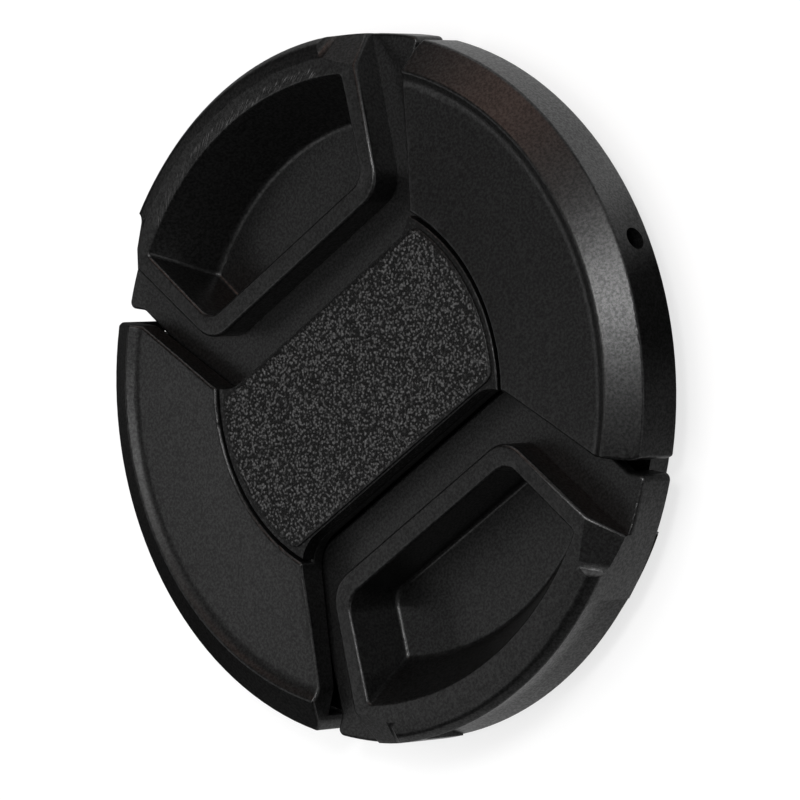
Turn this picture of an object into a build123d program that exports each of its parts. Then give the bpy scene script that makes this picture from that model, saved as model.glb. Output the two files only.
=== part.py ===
from build123d import *
import os
from math import cos, hypot, radians, sin, sqrt, tan

# Centre-pinch camera lens cap for a 58 mm filter thread, in millimetres.
# The cap lies on its back: Z = 0 is the rear of the spigot and +Z is the front face.
# The two pinch tabs face each other along Y, and the two fixed lobes lie along X.

# Rim
rim_radius = 31.0
rim_height = 4.5
rim_wall = 1.5
spigot_depth = 3.0
chamfer_width = 2.9
chamfer_height = 1.8
ridge_rounding = 0.35
edge_rounding = 0.3

# Lobes: a hollow inside the ridge, then a surface that rises to the groove around the centre plate
ridge_step_width = 0.9
ridge_drop = 0.55
ridge_hollow = 1.8
dish_sag = 0.1
dish_curve = 120.0
lip_height = 2.0

# Centre plate and the bridge that carries it, heights above the front edge of the rim wall
plate_radius = 16.36
groove_width = 0.31
plate_height = 1.9
plate_rounding = 0.15
bridge_thickness = 1.1
pad_margin = 0.51
pad_height = 0.15
pad_corner = 1.1
pad_rounding = 0.1
panel_half_width = 7.95

# Openings that the tabs work in, angles measured from the tab's own axis
opening_half_width = 13.4
opening_side_angle = 26.6
opening_corner = 3.5
opening_bend_inset = 1.1
opening_bend_rounding = 1.0
lobe_end_angle = 45.5
lobe_corner = 2.0
lobe_corner_flare = 25.0

# Tabs
tab_travel = 1.2
travel_margin = 0.3
slide_gap = 0.35
flange_drop = 1.0
flange_thickness = 1.2
flange_inner_y = 8.0
flange_half_width = 15.2
flange_side_angle = 19.0
flange_corner = 3.0
flange_side_rounding = 1.0
flange_end_rounding = 0.6
frame_height = 2.0
frame_inner_y = 12.65
frame_half_width = 12.1
frame_side_angle = 20.5
frame_corner = 3.0
frame_rounding = 0.35
shoulder_width = 1.9
shoulder_slope_width = 0.63
shoulder_drop = 1.1
shoulder_flat = 0.25
shoulder_rounding = 0.9
shoulder_edge_rounding = 0.45

# Finger wells
well_inner_y = 14.6
well_half_width = 11.05
well_side_angle = 19.0
well_side_draft = 4.0
well_corner = 2.0
well_rim_width = 3.5
well_outer_run = 3.7
well_depth = 5.86
well_floor_rounding = 0.8
well_foot_rounding = 0.4
well_lip_rounding = 0.3
well_floor_thickness = 1.2
cup_wall = 1.3

# Notches beside the frames' outer corners: a sloped floor, open to the flange, with one rounded side
notch_angle = 45.0
notch_inset = 3.35
notch_slope = 41.7
notch_side = 10.7
notch_rounding = 1.8

# Finger recess on the outer wall of a tab
recess_half_angle = 21.5
recess_gap_below_shoulder = 0.05
recess_depth_front = 0.45
recess_depth = 0.75
recess_depth_rear = 0.12
recess_deepest = 1.6
recess_curve = 5.0
recess_corner = 0.8

# Thread lugs behind the tabs
lug_half_angle = 31.5
lug_setback = 2.0
lug_wall = 1.1
thread_pitch = 0.75
thread_height = 0.4
thread_turns = 3
thread_root = 0.2

# Guides and stops behind the tabs
rail_x = 13.95
rail_width = 1.0
fin_width = 1.0
fin_inner_y = 8.6
fin_outer_y = 12.9
fin_height = 2.4
guide_gap = 0.25
stop_gap = 0.1
stop_bite = 0.4
stop_length = 1.2

# Springs between the tabs
spring_x = 8.0
spring_diameter = 2.8
spring_wire = 0.4
spring_turns = 15
spring_seat_gap = 0.03
peg_diameter = 1.6
peg_length = 2.0

# Back plate
plate_thickness = 1.5
rear_recess_radius = 17.5
rear_recess_depth = 0.4
spigot_setback = 2.7
spigot_wall = 1.4
lug_clearance = 0.45
plug_height = 1.0
seat_gap = 0.05
tab_gap_angle = 47.0
lug_gap_angle = 35.5
trough_wall = 0.8
trough_gap = 0.35
trough_height = 2.0
trough_half_length = 6.0

# Posts of the front body that go through the back plate and are closed there by a melted head
post_x = 22.0
post_y = 8.0
post_diameter = 4.4
pin_diameter = 2.4
head_diameter = 3.8
head_height = 0.5
head_sink = 0.15
head_clearance = 0.3

# Leash hole through the wall of one lobe
leash_diameter = 2.0
leash_angle = -9.0
leash_drop = 2.45

# Heights that follow from the sizes above
rim_rear_z = spigot_depth
wall_front_z = rim_rear_z + rim_height
ridge_z = wall_front_z + chamfer_height
lip_z = wall_front_z + lip_height
margin_z = wall_front_z + plate_height
pad_z = margin_z + pad_height
frame_top_z = wall_front_z + frame_height
flange_top_z = wall_front_z - flange_drop
flange_under_z = flange_top_z - flange_thickness
lobe_under_z = flange_top_z + slide_gap
bridge_top_z = lobe_under_z + bridge_thickness
well_floor_z = frame_top_z - well_depth
cup_under_z = well_floor_z - well_floor_thickness
rail_top_z = flange_under_z - slide_gap
plug_top_z = rim_rear_z + plug_height
spring_z = (plate_thickness + flange_under_z) / 2
far_z = frame_top_z + rim_height
far_y = 2 * rim_radius
touch = 0.01

# Radii that follow
ridge_radius = rim_radius - chamfer_width
rim_bore = rim_radius - rim_wall
lip_radius = plate_radius + groove_width
pad_radius = plate_radius - pad_margin
opening_bend_radius = ridge_radius - opening_bend_inset
well_outer_radius = rim_radius - well_rim_width
well_floor_radius = well_outer_radius - well_outer_run
well_slope = well_outer_run / well_depth
notch_start = rim_radius - notch_inset
lug_radius = rim_radius - lug_setback
lug_inner = lug_radius - lug_wall
spigot_radius = rim_radius - spigot_setback


def side_point(half_width, inner_y, side_angle, radius):
    # where a slanted side, starting at its inner corner, crosses a circle about the axis
    step_x = sin(radians(side_angle))
    step_y = cos(radians(side_angle))
    along = half_width * step_x + inner_y * step_y
    reach = sqrt(along ** 2 - half_width ** 2 - inner_y ** 2 + radius ** 2) - along
    return Vector(half_width + reach * step_x, inner_y + reach * step_y)


def at_angle(radius, angle):
    # a point on a circle, by its angle from the +Y tab's axis
    return Vector(radius * sin(radians(angle)), radius * cos(radians(angle)))


def mirrored_outline(right_points, right_radii):
    # a closed outline, symmetrical about Y, from its right half
    left_points = [Vector(-p.X, p.Y) for p in reversed(right_points)]
    points = right_points + left_points
    radii = right_radii + list(reversed(right_radii))
    return make_face(FilletPolyline(*points, radius=radii, close=True))


def prism(face, low, high):
    return Pos(0, 0, low) * extrude(face, amount=high - low)


def turned(points, radii, arc=360):
    face = make_face(FilletPolyline(*points, radius=radii, close=True))
    return revolve(Plane.XZ * face, Axis.Z, arc)


def tab_sector(points, radii, half_angle):
    # a turned shape that spans the given angle on each side of the +Y axis
    return Rot(0, 0, 90 - half_angle) * turned(points, radii, 2 * half_angle)


def well_radius(height):
    # the sloped outer wall of a finger well
    return well_floor_radius + (height - well_floor_z) * well_slope


# Plan lines shared by the lobes and the tabs
lobe_bend = side_point(opening_half_width, panel_half_width, opening_side_angle, opening_bend_radius)
lobe_end = at_angle(rim_radius, lobe_end_angle)
end_direction = (lobe_end - lobe_bend).normalized()
post_places = [(x, y) for x in (-post_x, post_x) for y in (-post_y, post_y)]


def opening_outline():
    # past the lobe's rounded corner it flares away from the rim
    outside = lobe_end + at_angle(rim_radius, lobe_end_angle + 90 - lobe_corner_flare)
    points = [
        Vector(opening_half_width, panel_half_width),
        lobe_bend,
        lobe_end,
        outside,
        Vector(outside.X, far_y),
    ]
    return mirrored_outline(points, [opening_corner, opening_bend_rounding, lobe_corner, 0, 0])


def both_openings():
    cutter = prism(opening_outline(), -rim_height, far_z)
    return cutter + Rot(0, 0, 180) * cutter


def near_outline(edge, outline, low):
    middle = edge @ 0.5
    flat = Vector(middle.X, abs(middle.Y))
    on_wall = outline.distance_to(flat) < touch
    return on_wall and middle.Z > low


def make_front_body():
    dish_edge = Vector(ridge_radius - ridge_step_width, ridge_z - ridge_drop)
    lip = Vector(lip_radius, lip_z)
    dish_middle = (dish_edge + lip) * 0.5 - Vector(0, dish_sag)
    points = [
        Vector(rim_radius, rim_rear_z),
        Vector(rim_radius, wall_front_z),
        Vector(ridge_radius, ridge_z),
        dish_edge,
        dish_middle,
        lip,
        Vector(lip_radius, bridge_top_z),
        Vector(0, bridge_top_z),
        Vector(0, lobe_under_z),
        Vector(rim_bore, lobe_under_z),
        Vector(rim_bore, rim_rear_z),
    ]
    radii = [
        edge_rounding, ridge_rounding, ridge_rounding, ridge_hollow, dish_curve, edge_rounding,
        0, 0, 0, 0, 0,
    ]
    body = turned(points, radii) - both_openings()
    outline = opening_outline().wire()
    body = fillet(body.edges().filter_by(lambda e: near_outline(e, outline, wall_front_z)), edge_rounding)
    head_top = head_sink + head_height
    post = prism(Circle(post_diameter / 2), plate_thickness, lip_z - bridge_thickness)
    post += prism(Circle(pin_diameter / 2), head_sink, lip_z - bridge_thickness)
    head = prism(Circle(head_diameter / 2), head_sink, head_top)
    post += fillet(head.edges().sort_by(Axis.Z)[0], head_height / 2)
    for x, y in post_places:
        body += Pos(x, y, 0) * post
    leash = Rot(0, 0, leash_angle) * Pos(rim_radius, 0, wall_front_z - leash_drop)
    body -= leash * Rot(0, 90, 0) * Cylinder(leash_diameter / 2, 3 * rim_wall)
    return body


def make_centre_plate():
    disc = prism(Circle(plate_radius), bridge_top_z, margin_z)
    disc = fillet(disc.edges().sort_by(Axis.Z)[-1], plate_rounding)
    plate = disc - both_openings()
    strip = Rectangle(2 * rim_radius, 2 * (panel_half_width - plate_rounding))
    pad_face = Circle(pad_radius) & strip
    pad_face = fillet(pad_face.vertices(), pad_corner)
    pad = prism(pad_face, bridge_top_z, pad_z)
    pad = fillet(pad.faces().sort_by(Axis.Z)[-1].edges(), pad_rounding)
    return plate + pad


def flange_outline():
    # each end runs parallel to the lobe beside it, one full travel and a margin away
    shift = Vector(0, tab_travel + travel_margin)
    start = lobe_bend + shift
    slope = tan(radians(flange_side_angle))
    end_slope = end_direction.X / end_direction.Y
    height = (start.X - flange_half_width + slope * flange_inner_y - end_slope * start.Y) / (slope - end_slope)
    corner = Vector(start.X + (height - start.Y) * end_slope, height)
    outside = start + end_direction * rim_radius
    points = [
        Vector(flange_half_width, flange_inner_y),
        corner,
        outside,
        Vector(outside.X, far_y),
    ]
    face = mirrored_outline(points, [flange_corner, flange_side_rounding, 0, 0])
    face = face & Circle(rim_radius)
    ends = face.vertices().filter_by(lambda v: abs(hypot(v.X, v.Y) - rim_radius) < touch)
    return fillet(ends, flange_end_rounding)


def core_envelope():
    # the turned form of a tab's block: cup, outer wall and rounded shoulder
    points = [
        Vector(0, cup_under_z),
        Vector(well_radius(cup_under_z) + cup_wall, cup_under_z),
        Vector(well_radius(flange_under_z) + cup_wall, flange_under_z),
        Vector(rim_radius, flange_under_z),
        Vector(rim_radius, frame_top_z - shoulder_drop),
        Vector(rim_radius - shoulder_slope_width, frame_top_z - shoulder_flat),
        Vector(rim_radius - shoulder_width, frame_top_z),
        Vector(0, frame_top_z),
    ]
    radii = [0, 0, 0, 0, shoulder_edge_rounding, shoulder_rounding, shoulder_rounding, 0]
    return turned(points, radii)


def frame_outline():
    side = side_point(frame_half_width, frame_inner_y, frame_side_angle, far_y)
    points = [Vector(frame_half_width, frame_inner_y), side]
    return mirrored_outline(points, [frame_corner, 0])


def well_outline(height):
    # the slanted sides draw in towards the floor
    half_width = well_half_width + (height - frame_top_z) * tan(radians(well_side_draft))
    side = side_point(half_width, well_inner_y, well_side_angle, far_y)
    return mirrored_outline([Vector(half_width, well_inner_y), side], [well_corner, 0])


def finger_well():
    hollow = loft([Pos(0, 0, z) * well_outline(z) for z in (cup_under_z, 2 * far_z)], ruled=True)
    cone = turned(
        [
            Vector(0, well_floor_z),
            Vector(well_floor_radius, well_floor_z),
            Vector(well_radius(far_z), far_z),
            Vector(0, far_z),
        ],
        [0, well_floor_rounding, 0, 0],
    )
    well = hollow & cone
    floor_edges = well.edges().filter_by(lambda e: abs((e @ 0.5).Z - well_floor_z) < touch)
    return fillet(floor_edges.filter_by(GeomType.CIRCLE, reverse=True), well_foot_rounding)


def notch():
    # the floor starts on the frame's top and falls outwards to the rim
    run = at_angle(1, notch_angle)
    across = at_angle(1, notch_angle + 90)
    spot = run * notch_start - across * notch_side + Vector(0, 0, frame_top_z)
    floor_up = run * sin(radians(notch_slope)) + Vector(0, 0, cos(radians(notch_slope)))
    block = Box(rim_radius, rim_radius, rim_radius, align=(Align.MIN, Align.CENTER, Align.MIN))
    closed_side = block.edges().filter_by(Axis.Y).sort_by(lambda e: (e @ 0.5).X + (e @ 0.5).Z)[0]
    return Plane(origin=spot, x_dir=across, z_dir=floor_up).location * fillet(closed_side, notch_rounding)


def finger_recess():
    top = frame_top_z - shoulder_drop - recess_gap_below_shoulder
    outside = rim_radius + rim_wall
    bottom = rim_rear_z - rim_wall
    cutter = tab_sector(
        [
            Vector(rim_radius - recess_depth_front, top),
            Vector(outside, top),
            Vector(outside, bottom),
            Vector(rim_radius - recess_depth_rear, bottom),
            Vector(rim_radius - recess_depth_rear, rim_rear_z),
            Vector(rim_radius - recess_depth, wall_front_z - recess_deepest),
        ],
        [0, 0, 0, 0, 0, recess_curve],
        recess_half_angle,
    )
    top_face = cutter.faces().sort_by(Axis.Z)[-1]
    corners = top_face.edges().filter_by(GeomType.LINE)
    return fillet(corners, recess_corner)


def thread_lug():
    points = [Vector(lug_inner, 0), Vector(lug_radius, 0)]
    for turn in range(thread_turns):
        low = turn * thread_pitch + thread_root
        high = low + thread_pitch - thread_root / 2
        points.append(Vector(lug_radius, low))
        points.append(Vector(lug_radius + thread_height, (low + high) / 2))
        points.append(Vector(lug_radius, high))
    points.append(Vector(lug_radius, flange_top_z - edge_rounding))
    points.append(Vector(lug_inner, flange_top_z - edge_rounding))
    return tab_sector(points, [0] * len(points), lug_half_angle)


def make_tab_core():
    # the raised frame with its finger well
    core = prism(frame_outline(), -rim_height, 2 * far_z) & core_envelope()
    core -= notch()
    core -= mirror(notch(), Plane.YZ)
    outline = frame_outline().wire()
    core = fillet(core.edges().filter_by(lambda e: near_outline(e, outline, flange_top_z)), frame_rounding)
    core -= finger_well()
    mouth = core.edges().filter_by(lambda e: abs((e @ 0.5).Z - frame_top_z) < touch)
    lip = well_outline(frame_top_z).wire()
    mouth = mouth.filter_by(lambda e: near_outline(e, lip, 0) or on_well_arc(e))
    return fillet(mouth, well_lip_rounding)


def on_well_arc(edge):
    middle = edge @ 0.5
    return abs(hypot(middle.X, middle.Y) - well_outer_radius) < touch


def make_pinch_tab():
    face = flange_outline()
    flange = prism(face, flange_under_z, flange_top_z)
    flange = fillet(flange.faces().sort_by(Axis.Z)[-1].edges(), edge_rounding)
    wall = prism(face, rim_rear_z, flange_top_z - edge_rounding) - prism(Circle(lug_radius), 0, far_z)
    tab = (flange - finger_well()) + wall + make_tab_core() + thread_lug()
    tab -= finger_recess()
    for sign in (-1, 1):
        fin_x = sign * (rail_x - guide_gap - fin_width / 2)
        fin_y = (fin_inner_y + fin_outer_y) / 2
        fin_z = flange_under_z - fin_height / 2
        tab += Pos(fin_x, fin_y, fin_z) * Box(fin_width, fin_outer_y - fin_inner_y, fin_height)
        peg = Rot(90, 0, 0) * Cylinder(peg_diameter / 2, peg_length)
        tab += Pos(sign * spring_x, frame_inner_y - peg_length / 2, spring_z) * peg
    return tab


def make_spring():
    height = 2 * (frame_inner_y - spring_seat_gap) - spring_wire
    middle_radius = (spring_diameter - spring_wire) / 2
    path = Helix(height / spring_turns, height, middle_radius)
    section = Plane(origin=path @ 0, z_dir=path % 0) * Circle(spring_wire / 2)
    coil = sweep(section, path, is_frenet=True)
    return Pos(0, height / 2, spring_z) * Rot(90, 0, 0) * coil


def gap_pair(half_angle, low):
    # two sectors outside the spigot's inner edge, one for each tab
    inner_edge = lug_inner - tab_travel - lug_clearance
    reach = far_y * tan(radians(half_angle))
    gap = make_face(Polyline((0, 0), (reach, far_y), (-reach, far_y), close=True))
    gap = gap - Circle(inner_edge)
    sector = prism(gap, low, far_z)
    return sector + Rot(0, 0, 180) * sector


def make_back_plate():
    plate = turned(
        [
            Vector(0, rear_recess_depth),
            Vector(rear_recess_radius, rear_recess_depth),
            Vector(rear_recess_radius + rear_recess_depth, 0),
            Vector(spigot_radius, 0),
            Vector(spigot_radius, rim_rear_z),
            Vector(rim_bore - seat_gap, rim_rear_z),
            Vector(rim_bore - seat_gap, plug_top_z),
            Vector(spigot_radius - spigot_wall, plug_top_z),
            Vector(spigot_radius - spigot_wall, plate_thickness),
            Vector(0, plate_thickness),
        ],
        [0, edge_rounding, edge_rounding, edge_rounding, 0, 0, 0, 0, edge_rounding, 0],
    )
    plate -= gap_pair(lug_gap_angle, -rim_height)
    plate -= gap_pair(tab_gap_angle, rim_rear_z - slide_gap)
    rail_height = rail_top_z - plate_thickness
    rail_middle_z = plate_thickness + rail_height / 2
    stop_y = fin_outer_y + stop_gap
    rail_half = stop_y + stop_length
    stop_width = rail_width + guide_gap + stop_bite
    rib_offset = spring_diameter / 2 + trough_gap + trough_wall / 2
    rib = Box(trough_wall, 2 * trough_half_length, trough_height)
    for sign in (-1, 1):
        rail = Box(rail_width, 2 * rail_half, rail_height)
        plate += Pos(sign * (rail_x + rail_width / 2), 0, rail_middle_z) * rail
        stop = Box(stop_width, stop_length, rail_height)
        stop_x = sign * (rail_x + rail_width - stop_width / 2)
        for end in (-1, 1):
            plate += Pos(stop_x, end * (stop_y + stop_length / 2), rail_middle_z) * stop
            rib_x = sign * spring_x + end * rib_offset
            plate += Pos(rib_x, 0, plate_thickness + trough_height / 2) * rib
    head_top = head_sink + head_height
    hole = prism(Circle(pin_diameter / 2 + seat_gap), -rim_height, far_z)
    hole += prism(Circle(head_diameter / 2 + head_clearance), -rim_height, head_top)
    for x, y in post_places:
        plate -= Pos(x, y, 0) * hole
    return plate


tab = make_pinch_tab()
spring = make_spring()
nodes = {
    "front_body": make_front_body(),
    "centre_plate": make_centre_plate(),
    "pinch_tab_a": tab,
    "pinch_tab_b": Rot(0, 0, 180) * tab,
    "spring_a": Pos(spring_x, 0, 0) * spring,
    "spring_b": Pos(-spring_x, 0, 0) * spring,
    "back_plate": make_back_plate(),
}
os.makedirs("parts", exist_ok=True)
for name, shape in nodes.items():
    export_step(shape, f"parts/{name}.step")
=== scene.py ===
from math import cos, pi, radians, sin
import bmesh
import bpy
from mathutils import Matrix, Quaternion, Vector


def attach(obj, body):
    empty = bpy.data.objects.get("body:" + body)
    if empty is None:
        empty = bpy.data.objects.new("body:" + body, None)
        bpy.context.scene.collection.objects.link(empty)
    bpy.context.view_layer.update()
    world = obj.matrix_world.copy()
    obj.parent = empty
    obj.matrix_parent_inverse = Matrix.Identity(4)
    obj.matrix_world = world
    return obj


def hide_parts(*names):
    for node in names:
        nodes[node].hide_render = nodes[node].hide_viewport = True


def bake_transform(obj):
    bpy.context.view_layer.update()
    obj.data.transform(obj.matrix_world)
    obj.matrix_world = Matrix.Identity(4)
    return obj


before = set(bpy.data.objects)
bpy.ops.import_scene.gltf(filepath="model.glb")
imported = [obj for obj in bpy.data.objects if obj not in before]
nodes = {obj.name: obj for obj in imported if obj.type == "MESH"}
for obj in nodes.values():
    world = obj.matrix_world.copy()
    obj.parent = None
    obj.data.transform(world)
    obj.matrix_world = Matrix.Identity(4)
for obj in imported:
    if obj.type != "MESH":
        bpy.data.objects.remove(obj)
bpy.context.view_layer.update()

scene = bpy.context.scene
mm = 0.001
print("frame loaded:", sorted(nodes))


def grey(value, warm=0.0):
    return (value * (1 + warm), value, value * (1 - warm), 1)


class Sock:
    # an output socket or a plain number that takes part in shader maths
    def __init__(self, graph, source):
        self.graph = graph
        self.source = source

    def calc(self, operation, *others):
        values = [self] + [self.graph.wrap(other) for other in others]
        return self.graph.add("ShaderNodeMath", {"operation": operation}, dict(enumerate(values)))

    def __add__(self, other):
        return self.calc("ADD", other)

    def __radd__(self, other):
        return self.graph.wrap(other).calc("ADD", self)

    def __sub__(self, other):
        return self.calc("SUBTRACT", other)

    def __rsub__(self, other):
        return self.graph.wrap(other).calc("SUBTRACT", self)

    def __mul__(self, other):
        return self.calc("MULTIPLY", other)

    def __rmul__(self, other):
        return self.graph.wrap(other).calc("MULTIPLY", self)

    def __truediv__(self, other):
        return self.calc("DIVIDE", other)

    def __rtruediv__(self, other):
        return self.graph.wrap(other).calc("DIVIDE", self)

    def fade(self, low, high):
        # 0 below low, 1 above high, smooth between
        settings = {"interpolation_type": "SMOOTHSTEP", "clamp": True}
        sockets = {"Value": self, "From Min": low, "From Max": high}
        return self.graph.add("ShaderNodeMapRange", settings, sockets)


class Graph:
    # the node tree of one new material
    def __init__(self, name):
        self.material = bpy.data.materials.new(name)
        self.material.use_nodes = True
        self.tree = self.material.node_tree
        self.tree.nodes.clear()

    def wrap(self, value):
        return value if isinstance(value, Sock) else Sock(self, value)

    def add(self, kind, settings=None, sockets=None, output=0):
        # settings first, then the sockets, by name or number
        node = self.tree.nodes.new(kind)
        for key, value in (settings or {}).items():
            if key == "stops":
                self.setStops(node.color_ramp, value)
            else:
                setattr(node, key, value)
        for key, value in (sockets or {}).items():
            value = value.source if isinstance(value, Sock) else value
            if isinstance(value, bpy.types.NodeSocket):
                self.tree.links.new(value, node.inputs[key])
            else:
                node.inputs[key].default_value = value
        return Sock(self, node.outputs[output]) if len(node.outputs) else None

    def setStops(self, ramp, stops):
        # pairs of position and grey, eased from one to the next
        ramp.interpolation = "EASE"
        while len(ramp.elements) < len(stops):
            ramp.elements.new(0.5)   # anywhere, since the loop below places it
        for element, (position, tone) in zip(ramp.elements, stops):
            element.position = position
            element.color = grey(tone)

    def place(self):
        return self.add("ShaderNodeTexCoord", output="Object")

    def axes(self):
        # the three object coordinates in millimetres
        split = self.add("ShaderNodeSeparateXYZ", None, {0: self.place()})
        return [Sock(self, output) / mm for output in split.source.node.outputs]

    def noise(self, scale, detail, roughness=0.5, vector=None):
        sockets = {"Vector": vector or self.place(), "Scale": scale}
        sockets.update({"Detail": detail, "Roughness": roughness})
        return self.add("ShaderNodeTexNoise", None, sockets)

    def mix(self, factor, first, second):
        # sockets 0, 6 and 7 are the colour mode's factor and colours, output 2 its result
        return self.add("ShaderNodeMix", {"data_type": "RGBA"}, {0: factor, 6: first, 7: second}, output=2)

    def bump(self, height, strength, distance, below=None):
        sockets = {"Height": height, "Strength": strength, "Distance": distance}
        if below:
            sockets["Normal"] = below
        return self.add("ShaderNodeBump", None, sockets)

    def finish(self, sockets):
        return self.close(self.add("ShaderNodeBsdfPrincipled", None, sockets))

    def close(self, shader):
        self.add("ShaderNodeOutputMaterial", None, {"Surface": shader})
        return self.material


# satin black moulded plastic with a fine grain, sizes in millimetres
satin = {
    "dark": 0.0012, "light": 0.0056, "toneFade": (0.3, 0.7), "ior": 1.45,
    "roughLow": 0.31, "roughHigh": 0.39, "cloudScale": 90, "cloudDetail": 4,
    "grainSize": 0.24, "grainDetail": 3, "grainRough": 0.65, "grainDepth": 0.03, "grainBump": 0.6,
    "coat": 0.6, "coatFade": (0.35, 0.67), "coatRough": 0.33,
}

# short radial strokes on the shoulder of the first tab, beside its finger well; their light grey colour is a
# painted highlight, laid over strokes with lower roughness and a small bump
shoulderGlints = {
    "inner": 27.6, "outer": 28.2, "aside": 21.5, "reach": 12.0, "foot": 8.9, "soft": 0.3,
    "wide": 0.2, "long": 0.7, "detail": 2, "rough": 0.6, "strokeFade": (0.5, 0.8),
    "tone": 0.12, "polish": 0.08, "depth": 0.05, "bump": 0.7,
}


def makeGrain(g):
    return g.noise(1 / (satin["grainSize"] * mm), satin["grainDetail"], satin["grainRough"])


def makeShoulderGlints(g):
    x, y, z = g.axes()
    soft = shoulderGlints["soft"]
    radius = (x * x + y * y).calc("SQRT")
    along = y.calc("ARCTAN2", x) * radius
    area = radius.fade(shoulderGlints["inner"] - soft, shoulderGlints["inner"] + soft)
    area = area * (1 - radius.fade(shoulderGlints["outer"], shoulderGlints["outer"] + soft))
    area = area * y.fade(shoulderGlints["aside"], shoulderGlints["aside"] + soft)
    area = area * (1 - x.calc("ABSOLUTE").fade(shoulderGlints["reach"] - soft, shoulderGlints["reach"]))
    area = area * z.fade(shoulderGlints["foot"] - soft, shoulderGlints["foot"])
    strokes = {"X": along / shoulderGlints["wide"], "Y": radius / shoulderGlints["long"]}
    vector = g.add("ShaderNodeCombineXYZ", None, strokes)
    streak = g.noise(1.0, shoulderGlints["detail"], shoulderGlints["rough"], vector).fade(*shoulderGlints["strokeFade"])
    return area * streak


def makeSatin():
    g = Graph("satinBlack")
    glintStrokes = makeShoulderGlints(g)
    cloud = g.noise(satin["cloudScale"], satin["cloudDetail"])
    grain = makeGrain(g)
    colour = g.mix(grain.fade(*satin["toneFade"]), grey(satin["dark"]), grey(satin["light"]))
    # painted highlight: the strokes' colour is lifted to a light grey
    colour = g.mix(glintStrokes, colour, grey(shoulderGlints["tone"]))
    rough = satin["roughLow"] + cloud * (satin["roughHigh"] - satin["roughLow"]) - glintStrokes * shoulderGlints["polish"]
    normal = g.bump(grain, satin["grainBump"], satin["grainDepth"] * mm)
    normal = g.bump(glintStrokes, shoulderGlints["bump"], shoulderGlints["depth"] * mm, normal)
    return g.finish({
        "Base Color": colour, "Roughness": rough, "Normal": normal, "IOR": satin["ior"],
        "Coat Weight": grain.fade(*satin["coatFade"]) * satin["coat"],   # a patchy coat shows as grain
        "Coat Roughness": satin["coatRough"],
    })


# coarse granular stipple on the centre plate, fading out before the edges; the raised grains are coloured
# light, a painted highlight on each grain
stipple = {
    "dark": 0.0012, "light": 0.072, "highlightSpeckFade": (0.5, 0.95), "ior": 1.4,
    "cell": 0.26, "cellFade": (0.05, 0.75), "cellShare": 0.45,
    "pit": 0.2, "pitDetail": 3, "pitRough": 0.6, "pitShare": 0.75,
    "depth": 0.16, "bump": 0.8, "fineBump": 0.5,
    "rough": 0.42, "roughDrop": 0.06, "roughSpread": 0.1,
    "reach": 15.75, "half": 7.75, "soft": 0.35,
}


def makeStipple():
    g = Graph("stippledBlack")
    x, y = g.axes()[:2]
    soft = stipple["soft"]
    radius = (x * x + y * y).calc("SQRT")
    field = 1 - radius.fade(stipple["reach"] - soft, stipple["reach"])
    field = field * (1 - y.calc("ABSOLUTE").fade(stipple["half"] - soft, stipple["half"]))
    fine = makeGrain(g)
    cellSockets = {"Vector": g.place(), "Scale": 1 / (stipple["cell"] * mm)}
    cells = g.add("ShaderNodeTexVoronoi", {"feature": "SMOOTH_F1"}, cellSockets)
    pits = g.noise(1 / (stipple["pit"] * mm), stipple["pitDetail"], stipple["pitRough"])
    grain = (1 - cells.fade(*stipple["cellFade"])) * stipple["cellShare"] + pits * stipple["pitShare"]
    highlightSpecks = grain.fade(*stipple["highlightSpeckFade"])
    normal = g.bump(fine, stipple["fineBump"], satin["grainDepth"] * mm)
    normal = g.bump(grain * field, stipple["bump"], stipple["depth"] * mm, normal)
    return g.finish({
        # painted highlight: raised grains are coloured light grey, near-black between them
        "Base Color": g.mix(highlightSpecks * field, grey(stipple["dark"]), grey(stipple["light"])),
        "Roughness": stipple["rough"] - field * stipple["roughDrop"] + (fine - 0.5) * stipple["roughSpread"],
        "Normal": normal, "IOR": stipple["ior"], "Coat Weight": highlightSpecks, "Coat Roughness": satin["coatRough"],
    })


# drawn spring wire
wire = {
    "bright": 0.55, "dull": 0.36, "warmth": 0.02, "rough": 0.28, "roughSpread": 0.2,
    "streakScale": 900, "streakDetail": 4, "streakRough": 0.7, "depth": 0.01, "bump": 0.2,
}


def makeWire():
    g = Graph("springWire")
    streak = g.noise(wire["streakScale"], wire["streakDetail"], wire["streakRough"])
    return g.finish({
        "Base Color": g.mix(streak, grey(wire["dull"], wire["warmth"]), grey(wire["bright"], wire["warmth"])),
        "Roughness": wire["rough"] + streak * wire["roughSpread"],
        "Metallic": 1.0,
        "Normal": g.bump(streak, wire["bump"], wire["depth"] * mm),
    })


looks = {"black_plastic": makeSatin(), "stippled_plastic": makeStipple(), "spring_steel": makeWire()}
print("materials made:", sorted(looks))

# the CAD forms, merged and smoothed, one piece per node
smoothing = {"mergeReach": 1e-6, "sharpAngle": radians(38), "weight": 50}
dressed = {
    "frontBody": {"node": "front_body", "body": "shell", "slot": "black_plastic"},
    "centrePlate": {"node": "centre_plate", "body": "shell", "slot": "stippled_plastic"},
    "pinchTabA": {"node": "pinch_tab_a", "body": "tab_a", "slot": "black_plastic"},
    "pinchTabB": {"node": "pinch_tab_b", "body": "tab_b", "slot": "black_plastic"},
    "backPlate": {"node": "back_plate", "body": "shell", "slot": "black_plastic"},
}


def copyForm(node):
    bm = bmesh.new()
    bm.from_mesh(nodes[node].data)
    bmesh.ops.remove_doubles(bm, verts=bm.verts, dist=smoothing["mergeReach"])
    for face in bm.faces:
        face.smooth = True
        face.material_index = 0
    for edge in bm.edges:
        edge.smooth = len(edge.link_faces) == 2 and edge.calc_face_angle(0) < smoothing["sharpAngle"]
    return bm


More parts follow.
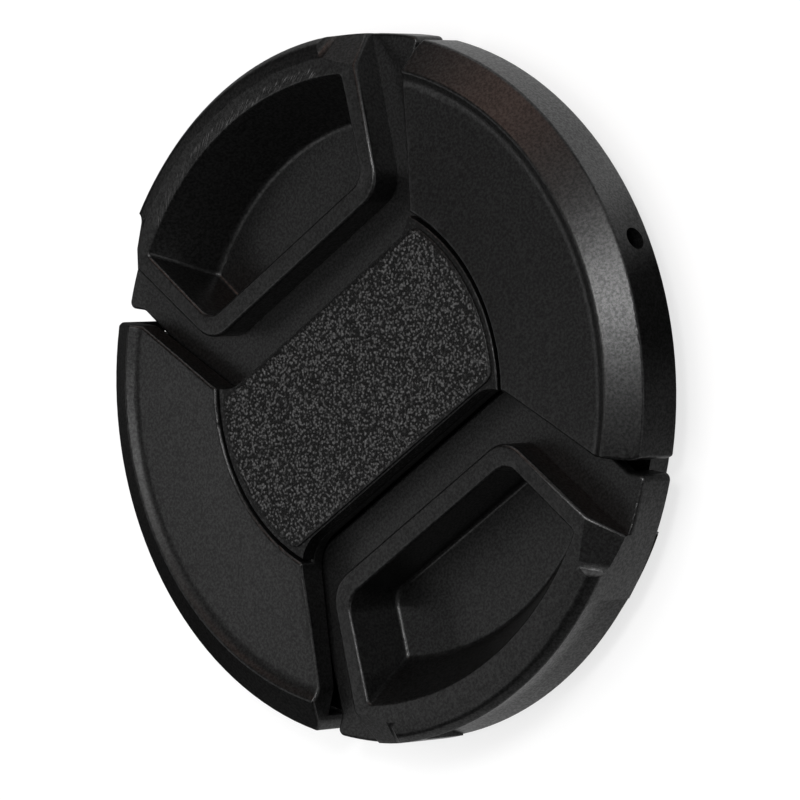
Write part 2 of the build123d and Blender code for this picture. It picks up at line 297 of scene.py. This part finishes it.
def makeObject(name, bm, material):
    mesh = bpy.data.meshes.new(name)
    bm.to_mesh(mesh)
    bm.free()
    mesh.materials.append(material)
    thing = bpy.data.objects.new(name, mesh)
    scene.collection.objects.link(thing)
    return thing


def makePiece(name, bm, slot):
    piece = makeObject(name, bm, looks[slot])
    return piece


for name, facts in dressed.items():
    piece = makePiece(name, copyForm(facts["node"]), facts["slot"])
    even = piece.modifiers.new("evenNormals", "WEIGHTED_NORMAL")
    even.keep_sharp = True
    even.weight = smoothing["weight"]
    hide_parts(facts["node"])
    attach(piece, facts["body"])
print("pieces dressed:", sorted(dressed))

# each spring is cut at its middle into two halves, one on each tab's side
springs = {"springA": "spring_a", "springB": "spring_b"}
springEnds = {"Upper": {"body": "tab_a", "side": 1}, "Lower": {"body": "tab_b", "side": -1}}
cutReach = 1e-7
middle = (0, 0, 0)
for name, node in springs.items():
    for end, facts in springEnds.items():
        side = facts["side"]
        bm = copyForm(node)
        parts = bm.verts[:] + bm.edges[:] + bm.faces[:]
        cut = {"plane_co": middle, "plane_no": (0, side, 0), "dist": cutReach}
        bmesh.ops.bisect_plane(bm, geom=parts, clear_inner=True, **cut)
        piece = makePiece(name + end, bm, "spring_steel")
        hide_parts(node)
        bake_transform(piece)
print("springs made:", sorted(springs))

# pale floor: the camera sees it mostly as a white backdrop, and the gloss as greys that change round the cap,
# a glow that only reflections see and that paints reflections on the cap
stage = {
    "floorHalf": 1.5, "white": 0.9, "backdrop": 1.05, "backdropShare": 0.7, "world": (0.02, 0.02, 0.0205, 1),
    "reflectionTones": [
        (0.0, 0.01), (0.12, 0.4), (0.24, 0.6), (0.33, 0.5), (0.40, 0.12),
        (0.43, 0.005), (0.465, 0.01), (0.49, 0.4), (0.515, 0.8), (0.55, 0.65),
        (0.62, 0.55), (0.68, 0.5), (0.76, 0.2), (0.85, 0.05), (1.0, 0.01),
    ],
}


def makeFloorLook():
    g = Graph("paleFloor")
    x, y = g.axes()[:2]
    turn = y.calc("ARCTAN2", x) / (2 * pi) + 0.5   # 0.5 points along +X, 0.75 along +Y
    ramp = g.add("ShaderNodeValToRGB", {"stops": stage["reflectionTones"]}, {0: turn})
    lit = g.add("ShaderNodeBsdfDiffuse", None, {"Color": grey(stage["white"])})
    # painted reflection: for gloss rays the floor glows in greys set by the angle round the cap
    paintedReflection = g.add("ShaderNodeEmission", None, {"Color": ramp, "Strength": 1.0})
    backdrop = g.add("ShaderNodeEmission", None, {"Color": grey(1.0), "Strength": stage["backdrop"]})
    direct = g.add("ShaderNodeLightPath", output="Is Camera Ray") * stage["backdropShare"]
    seen = g.add("ShaderNodeMixShader", None, {0: direct, 1: lit, 2: backdrop})   # a soft shadow stays
    glossy = g.add("ShaderNodeLightPath", output="Is Glossy Ray")
    return g.close(g.add("ShaderNodeMixShader", None, {0: glossy, 1: seen, 2: paintedReflection}))


bm = bmesh.new()
bmesh.ops.create_grid(bm, x_segments=1, y_segments=1, size=stage["floorHalf"])
floor = makeObject("floor", bm, makeFloorLook())

world = bpy.data.worlds.new("studio")
scene.world = world
world.use_nodes = True
background = world.node_tree.nodes["Background"]
background.inputs["Color"].default_value = stage["world"]
background.inputs["Strength"].default_value = 1.0
print("floor laid")

# softboxes: azimuth from +X and elevation in degrees, distance and size in metres, brightness of the face
white = (1, 1, 1)
warm = (1, 0.6, 0.48)
farOff = 0.6   # the distance of a lamp that names none
softboxes = {
    "nearPanel": {"azimuth": 174, "elevation": 53, "distance": 0.167, "size": (0.045, 0.09), "bright": 0.28},
    "bandLight": {"azimuth": 60, "elevation": 84, "distance": 0.3, "size": (0.08, 0.08), "bright": 3.4},
    "backHigh": {"azimuth": 152, "elevation": 35, "size": (0.3, 0.18), "bright": 0.64},
    "leftFill": {"azimuth": 200, "elevation": 50, "size": (0.25, 0.25), "bright": 0.58},
    "keyRight": {"azimuth": 0, "elevation": 58, "size": (0.1, 0.12), "bright": 25},
    "warmSide": {"azimuth": 65, "elevation": 40, "size": (0.2, 0.2), "bright": 1.1, "tint": warm},
    "edgeSide": {"azimuth": 62, "elevation": 16, "size": (0.4, 0.2), "bright": 1.0},
    "frontLow": {"azimuth": -45, "elevation": 15, "size": (0.5, 0.2), "bright": 0.7},
    "sideLow": {"azimuth": 2, "elevation": 27, "size": (0.25, 0.2), "bright": 1.6},
}
sheet = {"height": 1.2, "size": (1.6, 1.6), "bright": 1.44}


def aim(azimuth, elevation, distance):
    across = cos(radians(elevation)) * distance
    up = sin(radians(elevation)) * distance
    return Vector((across * cos(radians(azimuth)), across * sin(radians(azimuth)), up))


def addArea(name, place, size, bright, tint=white):
    data = bpy.data.lights.new(name, "AREA")
    data.shape = "RECTANGLE"
    data.size, data.size_y = size
    data.energy = bright * 4 * data.size * data.size_y   # the watts that give a face this brightness
    data.color = tint
    lamp = bpy.data.objects.new(name, data)
    lamp.location = place
    lamp.rotation_euler = place.to_track_quat("Z", "Y").to_euler()
    scene.collection.objects.link(lamp)
    return lamp


for name, box in softboxes.items():
    place = aim(box["azimuth"], box["elevation"], box.get("distance", farOff))
    addArea(name, place, box["size"], box["bright"], box.get("tint", white))

# a wide sheet overhead brings the light on a level face to about 1, and the gloss doesn't see it
overhead = addArea("overhead", Vector((0, 0, sheet["height"])), sheet["size"], sheet["bright"])
overhead.visible_glossy = False
print("lights placed:", sorted(softboxes))

# camera as in the photograph: angles in degrees, lengths in millimetres
lens = {
    "focal": 270, "sensor": 36, "nearest": 10, "azimuth": -31.09, "elevation": 48.16, "roll": -92.53,
    "distance": 529.12, "aim": (-2.09, -0.03, 1.59),
}
cameraData = bpy.data.cameras.new("camera")
cameraData.lens = lens["focal"]
cameraData.sensor_width = lens["sensor"]
cameraData.clip_start = lens["nearest"] * mm
camera = bpy.data.objects.new("camera", cameraData)
back = aim(lens["azimuth"], lens["elevation"], lens["distance"] * mm)
camera.location = Vector(lens["aim"]) * mm + back
level = back.to_track_quat("Z", "Y")
camera.rotation_euler = (level @ Quaternion((0, 0, 1), radians(lens["roll"]))).to_euler()
scene.collection.objects.link(camera)
scene.camera = camera
scene.view_settings.view_transform = "Standard"
print("camera set")
